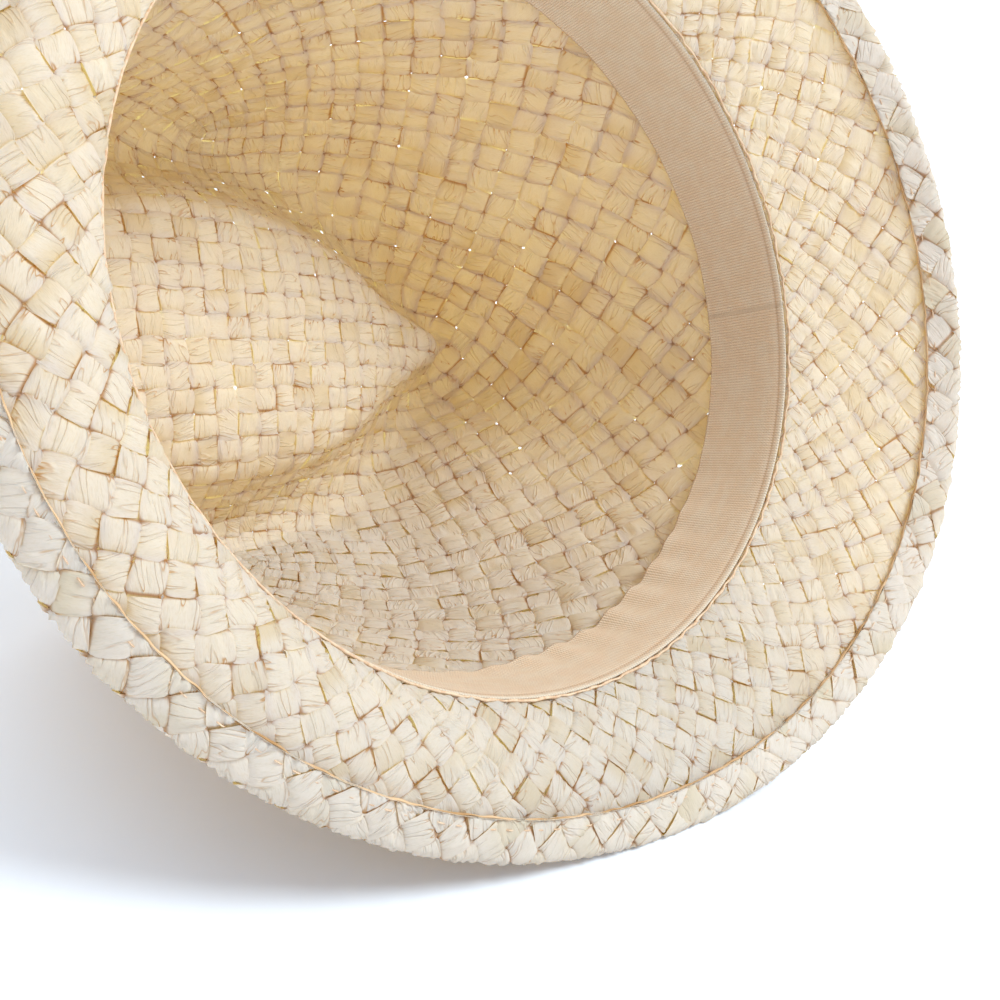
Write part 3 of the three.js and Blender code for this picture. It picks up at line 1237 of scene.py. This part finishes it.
    def _even_out(self, names: list[tuple[int, int, int]]) -> None:
        """Move each crossing over the straw to the middle of its neighbours, again and again.

        Args:
            names: The crossings' names.
        """
        near = self._neighbours(names)
        there = near >= 0
        free = np.array([kind == 0 or second < self.rows for kind, _, second in names])
        step, pace = 5e-3, 0.85
        for _ in range(self.rounds):
            here = self.shape.chart_point(self.place)
            pull = (here[near] * there[..., None]).sum(1) / there.sum(1)[:, None] - here
            ahead = (self.shape.chart_point(self.place + np.array([step, 0])) - here) / step
            aside = (self.shape.chart_point(self.place + np.array([0, step])) - here) / step
            aa, bb = (ahead**2).sum(1) + 1e-3, (aside**2).sum(1) + 1e-3
            ab = (ahead * aside).sum(1)
            pa, pb = (pull * ahead).sum(1), (pull * aside).sum(1)
            det = aa * bb - ab * ab
            move = np.stack([(pa * bb - pb * ab) / det, (pb * aa - pa * ab) / det], -1)
            self.place[free] += pace * np.clip(move[free], -self.longest_move, self.longest_move)

    def strips(self) -> dict[str, list[Strip]]:
        """Follow each strip from the opening, over the tip and down to the opening again.

        Returns:
            The strips in four sets, by their direction on the tip and the half that they lie in.
        """
        sets: dict[str, list[Strip]] = {}
        for quarter_turn, way in ((False, "cross"), (True, "long")):
            for x in range(-self.half, self.half):
                upper = x >= 0
                inner = min(abs(x), abs(x + 1))
                last = self.half - inner + self.rows + 1
                sides = []
                for edge in (x, x + 1):
                    names = [self.node(edge, y, upper, y > 0) for y in range(-last, last + 1)]
                    names = [self.turned(name) if quarter_turn else name for name in names]
                    sides.append(self.place[[self.index[self._held(name)] for name in names]])
                sign = 1 if (x - last) % 2 == 0 else -1
                name = f"{way}_{'a' if upper else 'b'}"
                sets.setdefault(name, []).append(Strip(sides[0], sides[1], sign))
        return sets

    def _held(self, name: tuple[int, int, int]) -> tuple[int, int, int]:
        """Hold a wall crossing's row to those that are placed.

        Args:
            name: A crossing's name.

        Returns:
            The name of the nearest crossing that is placed.
        """
        kind, first, second = name
        last = self.rows + self.spare
        return name if kind == 0 else (kind, first - (second > last), min(second, last))


@dataclass
class BrimLattice:
    """The strips of the brim and its hem, which run out from the crown at 45 degrees both ways.

    Attributes:
        shape: The hat.
        count: Strips each way.
        flare: How fast the strips widen outwards.
        climb: Rows that run up the wall, behind the sweatband.
    """

    shape: HatShape
    count: int = 84
    flare: float = 0.82
    climb: float = 2.0

    def place(self, around: Array, row: Array) -> Array:
        """Chart places of crossings: azimuth, and length of straw from the crown's foot.

        Args:
            around: Half strips round the hat.
            row: Rows out from the crown's foot.

        Returns:
            The places.
        """
        turns = np.linspace(-np.pi, 5 * np.pi, 3001)
        a, b = self.shape.head_length / 2, self.shape.head_width / 2
        speed = np.hypot(a * np.sin(turns), b * np.cos(turns))
        length = np.concatenate([[0], np.cumsum((speed[1:] + speed[:-1]) / 2)])
        start, whole = np.interp(0, turns, length), np.interp(2 * np.pi, turns, length)
        azimuth = np.interp(around / (2 * self.count), (length - start) / (whole - start), turns)
        radius = (a + b) / 2
        travel = radius / self.flare * np.expm1(np.pi * self.flare * row / self.count)
        return np.stack([azimuth, travel], -1)

    def strips(self) -> dict[str, list[Strip]]:
        """Follow each strip out over the brim, round its rim and into the hem.

        Returns:
            The strips in two sets, by the way they lean.
        """
        longest = self.shape.brim.front + self.shape.hem_width
        last = 1
        while self.place(np.array([0.0]), np.array([float(last)]))[0, 1] < longest:
            last += 1
        rows = np.arange(-self.climb, last + 1)
        sets: dict[str, list[Strip]] = {"leaning_left": [], "leaning_right": []}
        for strip in range(self.count):
            start = 2 * strip
            left = Strip(self.place(start + rows, rows), self.place(start + rows + 1, rows - 1), 1)
            right = Strip(self.place(start - rows, rows), self.place(start + 1 - rows, rows + 1), 1)
            sets["leaning_left"].append(left)
            sets["leaning_right"].append(right)
        return sets


# Meshes


def mesh_object(name: str, points: Array, faces: Array, material: bpy.types.Material) -> bpy.types.Object:
    """Make an object of points and four-cornered faces, smoothly shaded, at the origin.

    Args:
        name: The object's name.
        points: Its points, in metres.
        faces: The numbers of each face's corners.
        material: Its finish.

    Returns:
        The object.
    """
    mesh = bpy.data.meshes.new(name)
    mesh.vertices.add(len(points))
    mesh.vertices.foreach_set("co", np.ascontiguousarray(points, dtype=np.float32).ravel())
    mesh.loops.add(faces.size)
    mesh.loops.foreach_set("vertex_index", np.ascontiguousarray(faces, dtype=np.int32).ravel())
    mesh.polygons.add(len(faces))
    mesh.polygons.foreach_set("loop_start", np.arange(0, faces.size, 4, dtype=np.int32))
    mesh.update(calc_edges=True)
    mesh.validate()
    mesh.polygons.foreach_set("use_smooth", np.ones(len(mesh.polygons), dtype=bool))
    mesh.materials.append(material)
    built = bpy.data.objects.new(name, mesh)
    bpy.context.scene.collection.objects.link(built)
    return built


def set_values(built: bpy.types.Object, name: str, values: Array) -> None:
    """Give each point of an object a value that its material reads by name."""
    layer = built.data.attributes.new(name, "FLOAT", "POINT")
    layer.data.foreach_set("value", np.ascontiguousarray(values, dtype=np.float32))


def set_map(built: bpy.types.Object, values: Array) -> None:
    """Give an object the map named strip.

    Args:
        built: The object.
        values: One pair of numbers for each point, in millimetres.
    """
    corners = np.empty(len(built.data.loops), dtype=np.int32)
    built.data.loops.foreach_get("vertex_index", corners)
    layer = built.data.uv_layers.new(name="strip")
    layer.data.foreach_set("uv", np.ascontiguousarray(values[corners], dtype=np.float32).ravel())


def settle(piece: bpy.types.Object, slot: str, *nodes: str) -> bpy.types.Object:
    """Make a piece ride with the hat and hide the solids that it stands for.

    Args:
        piece: The piece.
        slot: Not used.
        nodes: The solids that it replaces.

    Returns:
        The piece.
    """
    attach(piece, "root")
    if nodes:
        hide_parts(*nodes)
    log.info("%s: %d faces", piece.name, len(piece.data.polygons))
    return piece


@dataclass
class WovenHood:
    """The crown, the brim and the hem, woven from paper strips.

    Attributes:
        shape: The hat.
        straw: The finish of a single layer.
        doubled: The finish where the hem makes it two.
        crown_pitch: Width of a lane on the crown, in millimetres.
        brim_pitch: Width of a lane on the brim, in millimetres.
        crown_seed: The source of the crown's crumples.
        brim_seed: The source of the brim's crumples.
    """

    shape: HatShape
    straw: bpy.types.Material
    doubled: bpy.types.Material
    crown_pitch: float = 6.6
    brim_pitch: float = 6.0
    crown_seed: int = 11
    brim_seed: int = 31

    def build(self) -> list[bpy.types.Object]:
        """Weave the whole hood.

        Returns:
            Its pieces.
        """
        pieces = []
        for turn, (name, strips) in enumerate(CrownLattice(self.shape).build().strips().items()):
            weaver = StripWeaver(self.shape, Chart.CROWN, seed=self.crown_seed + turn, pitch=self.crown_pitch)
            pieces.append(weaver.weave(f"crown_strips_{name}", strips, self.straw))
        for turn, (name, strips) in enumerate(BrimLattice(self.shape).strips().items()):
            weaver = StripWeaver(self.shape, Chart.BRIM, seed=self.brim_seed + turn, pitch=self.brim_pitch)
            piece = weaver.weave(f"brim_strips_{name}", strips, self.straw)
            piece.data.materials.append(self.doubled)
            pieces.append(piece)
        return [settle(piece, "paper_straw", "straw_body") for piece in pieces]


# Heights of the tape's rows of points over its foot, in millimetres, closer at its edges and its stitches.
TAPE_ROWS = (0, 0.35, 0.8, 1.1, 1.5, 1.7, 1.9, 2.4, 3.5, 5, 8, 11, 14, 16.5, 18.5, 20.0, 20.6, 21.0)

# Count round the hat, start and size of the waves along the tape's free edge.
TAPE_WAVES = ((9, 0.6, 0.35), (17, 2.0, 0.25), (29, 1.1, 0.2))


@dataclass
class Sweatband:
    """The cotton tape inside the crown, whose free edge waves a little.

    Attributes:
        shape: The hat.
        tape: The tape's finish.
        height: Height of the tape, in millimetres.
        thickness: Thickness of the tape.
        clearance: Gap between the tape and the straw's nominal inner side.
        lean: How much further in its free edge stands.
        foot: Height of its sewn edge over the opening.
        columns: Columns of points round the hat.
        stitch_line: Height of its stitches over its foot.
        stitch_half: Half the width of the painted shade line along them.
        pale_edge: Height up to which its sewn edge is pale.
        bead_height: How far its sewn edge swells.
        bead_middle: Height of that swelling.
        bead_half: Half its width.
        groove_depth: How deep the stitches pull the tape in.
        groove_half: Half the width of that groove.
        settling: Height over which the tape leaves the straw.
        waviness: How much of its waves shows at the free edge.
        calm_waves: Share of them where it isn't wrinkled.
        wrinkle_size: How far the wrinkles stand out.
        wrinkles: Their count, if they ran all round the hat.
        wrinkled_at: Azimuth of the place where it is most wrinkled.
        wrinkled_half: Half the length of that place, in radians.
    """

    shape: HatShape
    tape: bpy.types.Material
    height: float = 21.0
    thickness: float = 0.5
    clearance: float = 0.45
    lean: float = 0.9
    foot: float = 0.4
    columns: int = 480
    stitch_line: float = 1.7
    stitch_half: float = 0.3
    pale_edge: float = 1.15
    bead_height: float = 0.1
    bead_middle: float = 0.5
    bead_half: float = 0.45
    groove_depth: float = 0.08
    groove_half: float = 0.22
    settling: float = 3.0
    waviness: float = 0.7
    calm_waves: float = 0.45
    wrinkle_size: float = 0.9
    wrinkles: int = 56
    wrinkled_at: float = 1.15
    wrinkled_half: float = 0.5

    def build(self) -> bpy.types.Object:
        """Build the tape, with its thickness, and say what sheet it was cut from.

        Returns:
            The tape.
        """
        azimuth = np.linspace(0, 2 * np.pi, self.columns, endpoint=False)
        turn, up = np.meshgrid(azimuth, np.array(TAPE_ROWS), indexing="ij")
        middle = self._surface(turn, up)
        rows, columns = turn.shape
        corner = np.arange(rows * columns).reshape(rows, columns)
        wrapped = np.roll(corner, -1, 0)
        faces = np.stack([corner[:, :-1], corner[:, 1:], wrapped[:, 1:], wrapped[:, :-1]], -1).reshape(-1, 4)
        built = mesh_object("sweatband_tape", to_world(middle.reshape(-1, 3)), faces, self.tape)
        # The edge mark sets the tape's pale woven edge; the stitch mark sets the painted shade along its
        # sunken stitch line.
        set_values(built, "edge", np.clip(self.pale_edge - up, 0, 1).ravel())
        set_values(built, "stitch", swell(up, self.stitch_line, self.stitch_half).ravel())
        step = np.linalg.norm(np.diff(middle[:, 0], axis=0), axis=-1)
        run = np.concatenate([[0], np.cumsum(step)])
        set_map(built, np.stack([np.repeat(run[:, None], columns, 1), up], -1).reshape(-1, 2))
        self._thicken(built)
        settle(built, "cotton_tape", "sweatband")
        return built

    def _surface(self, turn: Array, up: Array) -> Array:
        """Find points of the tape's middle surface.

        Args:
            turn: Their azimuths.
            up: Their heights over the tape's foot, in millimetres.

        Returns:
            The points.
        """
        rise = self.foot + self.shape.seam_depth(turn) * (1 - up / self.height)
        level = self._level_at(turn.ravel(), (rise + up).ravel()).reshape(turn.shape)
        points, out = self.shape.crown_frame(np.stack([level * np.cos(turn), level * np.sin(turn)], -1))
        share = up / self.height
        clearance = self.clearance * np.minimum(up / self.settling, 1)
        gap = self.shape.thickness / 2 + clearance + share * self.lean
        gap = gap + share**2 * self._waves(turn) * self.waviness
        bead = self.bead_height * swell(up, self.bead_middle, self.bead_half)
        groove = self.groove_depth * swell(up, self.stitch_line, self.groove_half)
        return points - out * (gap + self.thickness / 2 + bead - groove)[..., None]

    def _waves(self, turn: Array) -> Array:
        """How far the tape's free edge waves in at each azimuth, more where it is wrinkled.

        Args:
            turn: The azimuths.

        Returns:
            The waves, in millimetres.
        """
        waves = sum(size * np.sin(count * turn + start) for count, start, size in TAPE_WAVES)
        away = np.angle(np.exp(1j * (turn - self.wrinkled_at)))
        wrinkled = swell(away, 0.0, self.wrinkled_half)
        waves = waves * (self.calm_waves + self.wrinkle_size * wrinkled)
        return waves + self.wrinkle_size * wrinkled * np.sin(self.wrinkles * turn)

    def _thicken(self, built: bpy.types.Object) -> None:
        """Give the tape its thickness.

        Args:
            built: The tape.
        """
        solidify = built.modifiers.new("tape thickness", "SOLIDIFY")
        solidify.thickness = self.thickness * MM
        solidify.offset = 0.0
        bpy.ops.object.select_all(action="DESELECT")
        bpy.context.view_layer.objects.active = built
        built.select_set(True)
        bpy.ops.object.modifier_apply(modifier=solidify.name)

    def _level_at(self, azimuth: Array, height: Array) -> Array:
        """Find the crown level whose straw is at a height above the opening.

        Args:
            azimuth: The azimuths.
            height: The heights, in millimetres.

        Returns:
            The levels.
        """
        upper, lower = np.full_like(azimuth, 7.0), np.full_like(azimuth, self.shape.opening)
        for _ in range(18):
            middle = (upper + lower) / 2
            above = self.shape.crown_free(azimuth, middle)[:, 2] > height
            upper, lower = np.where(above, middle, upper), np.where(above, lower, middle)
        return lower


@dataclass(frozen=True)
class Bead:
    """The size of a slightly uneven bead, in millimetres, and the source of its unevenness."""

    half_width: float
    half_height: float
    seed: int
    count: int = 900
    around: int = 7
    uneven: float = 0.3
    wander: float = 0.28


# Where each ring of a stitch lies along it, and how high, in millimetres.
STITCH_RINGS = np.array([(0, -0.4), (0.12, -0.05), (0.35, 0.12), (0.65, 0.12), (0.88, -0.05), (1.0, -0.4)])


@dataclass
class SewnLines:
    """What runs round the hat in lines: the hem's stitches, its cut edge and the sweatband's seam.

    Attributes:
        shape: The hat.
        thread: The finish of the threads.
        cut_ends: The finish of the hem's cut edge.
        stitch_length: Length of a stitch, in millimetres.
        stitch_pitch: Distance from one stitch to the next.
        stitch_width: Width of the thread.
        stitch_inset: Distance of the stitches from the hem's cut edge.
        stitch_sides: Sides of a stitch's thread.
        stitch_seed: The source of their unevenness.
    """

    shape: HatShape
    thread: bpy.types.Material
    cut_ends: bpy.types.Material
    stitch_length: float = 2.3
    stitch_pitch: float = 4.1
    stitch_width: float = 0.3
    stitch_inset: float = 1.9
    stitch_sides: int = 6
    stitch_seed: int = 41

    def build(self) -> list[bpy.types.Object]:
        """Build the three lines.

        Returns:
            Their pieces.
        """
        hem_edge = self._line("hem_cut_edge", self._hem_edge, Bead(0.22, 0.4, 23), self.cut_ends)
        seam = self._line("sweatband_seam", self._seam, Bead(0.28, 0.28, 24), self.thread)
        stitches = self._stitches()
        return [settle(hem_edge, "paper_straw"), settle(seam, "paper_straw"), settle(stitches, "cotton_tape")]

    def _hem_end(self, azimuth: Array) -> Array:
        """How much straw lies between the crown's foot and the hem's cut edge.

        Args:
            azimuth: Angles round the hat, in radians.

        Returns:
            The lengths, in millimetres.
        """
        shape = self.shape
        end = shape.brim.at(azimuth) - shape.thickness + np.pi * shape.thickness / 2
        return end + shape.hem_width - shape.thickness

    def _hem_edge(self, azimuth: Array) -> tuple[Array, Array]:
        """Points and outer directions of the hem's cut edge."""
        return self.shape.fold_frame(azimuth, self._hem_end(azimuth))

    def _stitch_path(self, azimuth: Array) -> tuple[Array, Array]:
        """Points and outer directions of the line that the hem is sewn on."""
        return self.shape.fold_frame(azimuth, self._hem_end(azimuth) - self.stitch_inset)

    def _seam(self, azimuth: Array) -> tuple[Array, Array]:
        """Points and inner directions of the sweatband's sewn edge."""
        points, normal, _ = self.shape.brim_frame(azimuth, -0.25 - self.shape.seam_depth(azimuth))
        return points - normal * 0.85, -normal

    def _line(
        self,
        name: str,
        path: Callable[[Array], tuple[Array, Array]],
        bead: Bead,
        material: bpy.types.Material,
    ) -> bpy.types.Object:
        """Run a slightly uneven bead round the hat.

        Args:
            name: The object's name.
            path: The function that gives points and outer directions at azimuths.
            bead: The bead's size.
            material: Its finish.

        Returns:
            The object.
        """
        azimuth = np.linspace(0, 2 * np.pi, bead.count, endpoint=False)
        points, out = path(azimuth)
        ahead = np.roll(points, -1, 0) - np.roll(points, 1, 0)
        ahead /= np.linalg.norm(ahead, axis=-1, keepdims=True)
        aside = np.cross(ahead, out)
        dice = np.random.default_rng(bead.seed)
        at = np.arange(bead.count) / 3
        draws = (bead.count // 3 + 1, 1)
        size = 1 + bead.uneven * curve_through(dice.uniform(-1, 1, draws), at)
        wander = bead.wander * curve_through(dice.uniform(-1, 1, draws), at)
        angle = np.linspace(0, 2 * np.pi, bead.around, endpoint=False)[None]
        sideways = bead.half_width * size * np.cos(angle) + wander
        upwards = bead.half_height * size * np.sin(angle)
        ring = aside[:, None] * sideways[..., None] + out[:, None] * upwards[..., None]
        corner = np.arange(bead.count * bead.around).reshape(bead.count, bead.around)
        ahead_row, beside = np.roll(corner, -1, 0), np.roll(corner, -1, 1)
        faces = np.stack([corner, ahead_row, np.roll(ahead_row, -1, 1), beside], -1).reshape(-1, 4)
        return mesh_object(name, to_world((points[:, None] + ring).reshape(-1, 3)), faces, material)

    def _stitches(self) -> bpy.types.Object:
        """Sew the hem: short threads that sink into the straw at both ends.

        Returns:
            The stitches.
        """
        turns = np.linspace(0, 2 * np.pi, 4001)
        points, _ = self._stitch_path(turns)
        run = np.concatenate([[0], np.cumsum(np.linalg.norm(np.diff(points, axis=0), axis=-1))])
        count = int(run[-1] / self.stitch_pitch)
        dice = np.random.default_rng(self.stitch_seed)
        starts = (np.arange(count) + dice.uniform(-0.06, 0.06, count)) * run[-1] / count
        shares, lift = STITCH_RINGS.T
        azimuth = np.interp(starts[:, None] + shares[None] * self.stitch_length, run, turns)
        middle, out = self._stitch_path(azimuth.ravel())
        middle = middle.reshape(count, len(shares), 3)
        out = out.reshape(count, len(shares), 3)
        middle = middle + out * (0.35 + lift)[None, :, None]
        ahead = middle[:, -1:] - middle[:, :1]
        ahead = ahead / np.linalg.norm(ahead, axis=-1, keepdims=True)
        aside = np.cross(np.broadcast_to(ahead, out.shape), out)
        angle = np.linspace(0, 2 * np.pi, self.stitch_sides, endpoint=False)[:, None]
        ring = aside[:, :, None] * np.cos(angle) + out[:, :, None] * np.sin(angle)
        points = (middle[:, :, None] + ring * self.stitch_width / 2).reshape(-1, 3)
        corner = np.arange(len(points)).reshape(count, len(shares), self.stitch_sides)
        this, following = corner[:, :-1], corner[:, 1:]
        beside, beyond = np.roll(this, -1, 2), np.roll(following, -1, 2)
        faces = np.stack([this, following, beyond, beside], -1).reshape(-1, 4)
        return mesh_object("hem_stitches", to_world(points), faces, self.thread)


# Studio


@dataclass(frozen=True)
class Lamp:
    """A large, far and soft light: where it comes from, how large it looks in degrees and its strength."""

    name: str
    place: tuple[float, float, float]
    spread: float
    strength: float


@dataclass(frozen=True)
class Studio:
    """The floor, the light and the camera.

    Attributes:
        camera_place: Where the camera stands, in metres.
        camera_turn: How it is turned, as a quaternion.
        lens: Its focal length, in millimetres.
        sensor: The width of its sensor.
        lamps: The light over the brim's front and the one behind the hat, which shines through the straw.
        lamp_colour: The lamps' colour.
        sky: How bright the room's walls are.
        sky_colour: The walls' colour.
        floor_size: Length of the floor's side, in metres.
        floor_colour: The floor's colour.
    """

    camera_place: tuple[float, float, float] = (-0.216112, -0.2101246, 0.1806004)
    camera_turn: tuple[float, float, float, float] = (0.8053088, 0.4547641, -0.2790452, -0.2584594)
    lens: float = 50.39
    sensor: float = 36.0
    lamps: tuple[Lamp, ...] = (
        Lamp("key_light", (0.36, -0.42, 0.84), 26.0, 2.75),
        Lamp("back_light", (0.15, 0.85, 0.5), 40.0, 1.9),
    )
    lamp_colour: str = "#E9F6FF"
    sky: float = 0.88
    sky_colour: str = "#E7F0FF"
    floor_size: float = 24.0
    floor_colour: str = "#F3F5F8"

    def build(self) -> None:
        """Set up the whole studio."""
        self._floor()
        for lamp in self.lamps:
            self._light(lamp)
        self._room()
        self._camera()

    def _floor(self) -> None:
        """Roll out the paper that the hat lies on."""
        bpy.ops.object.select_all(action="DESELECT")
        bpy.ops.mesh.primitive_plane_add(size=self.floor_size, location=(0.0, 0.0, 0.0))
        floor = bpy.context.active_object
        floor.name = "studio_floor"
        # Matt paper scatters light evenly, so nothing but the hat's shadow shows on it.
        paper, tree = empty_material("white studio paper, matt")
        matt = add_node(tree, "ShaderNodeBsdfDiffuse", values={0: linear(self.floor_colour)}).outputs[0]
        add_node(tree, "ShaderNodeOutputMaterial", links={0: matt})
        floor.data.materials.append(paper)

    def _light(self, lamp: Lamp) -> None:
        """Set one light.

        Args:
            lamp: Its place, size and strength.
        """
        towards = Vector(lamp.place).normalized()
        bpy.ops.object.light_add(type="SUN", location=towards * 2)
        light = bpy.context.active_object
        light.name = lamp.name
        light.data.energy = lamp.strength
        light.data.color = linear(self.lamp_colour)[:3]
        light.data.angle = math.radians(lamp.spread)
        light.rotation_mode = "QUATERNION"
        light.rotation_quaternion = (-towards).to_track_quat("-Z", "Y")

    def _room(self) -> None:
        """Light the pale room round the hat."""
        world = bpy.data.worlds.new("studio_room")
        world.use_nodes = True
        background = world.node_tree.nodes["Background"]
        background.inputs[0].default_value = linear(self.sky_colour)
        background.inputs[1].default_value = self.sky
        bpy.context.scene.world = world
        bpy.context.scene.view_settings.view_transform = "Standard"

    def _camera(self) -> None:
        """Set the camera at the photo's angle."""
        bpy.ops.object.camera_add()
        camera = bpy.context.active_object
        camera.name = "camera"
        camera.rotation_mode = "QUATERNION"
        camera.location = self.camera_place
        camera.rotation_quaternion = self.camera_turn
        camera.data.sensor_width = self.sensor
        camera.data.lens = self.lens
        camera.data.clip_start = 0.01
        camera.data.clip_end = 100.0
        bpy.context.scene.camera = camera


def main() -> None:
    """Build the studio and then the hat, piece by piece."""
    Studio().build()
    shape = HatShape()
    straw = PaperStraw().make()
    tape = CottonTape().make()
    thread = Plain("cream cotton sewing thread", "#E9CBA8", "#D6AC86", 0.85, 900.0).make()
    cut_ends = Plain("cut ends of paper straw", "#E2BC90", "#AE8150", 0.85, 70.0).make()
    doubled = PaperStraw("paper straw, doubled in the hem", cream="#F8EEDD", translucence=0.36).make()
    WovenHood(shape, straw, doubled).build()
    Sweatband(shape, tape).build()
    SewnLines(shape, thread, cut_ends).build()


if __name__ == "__main__":
    main()
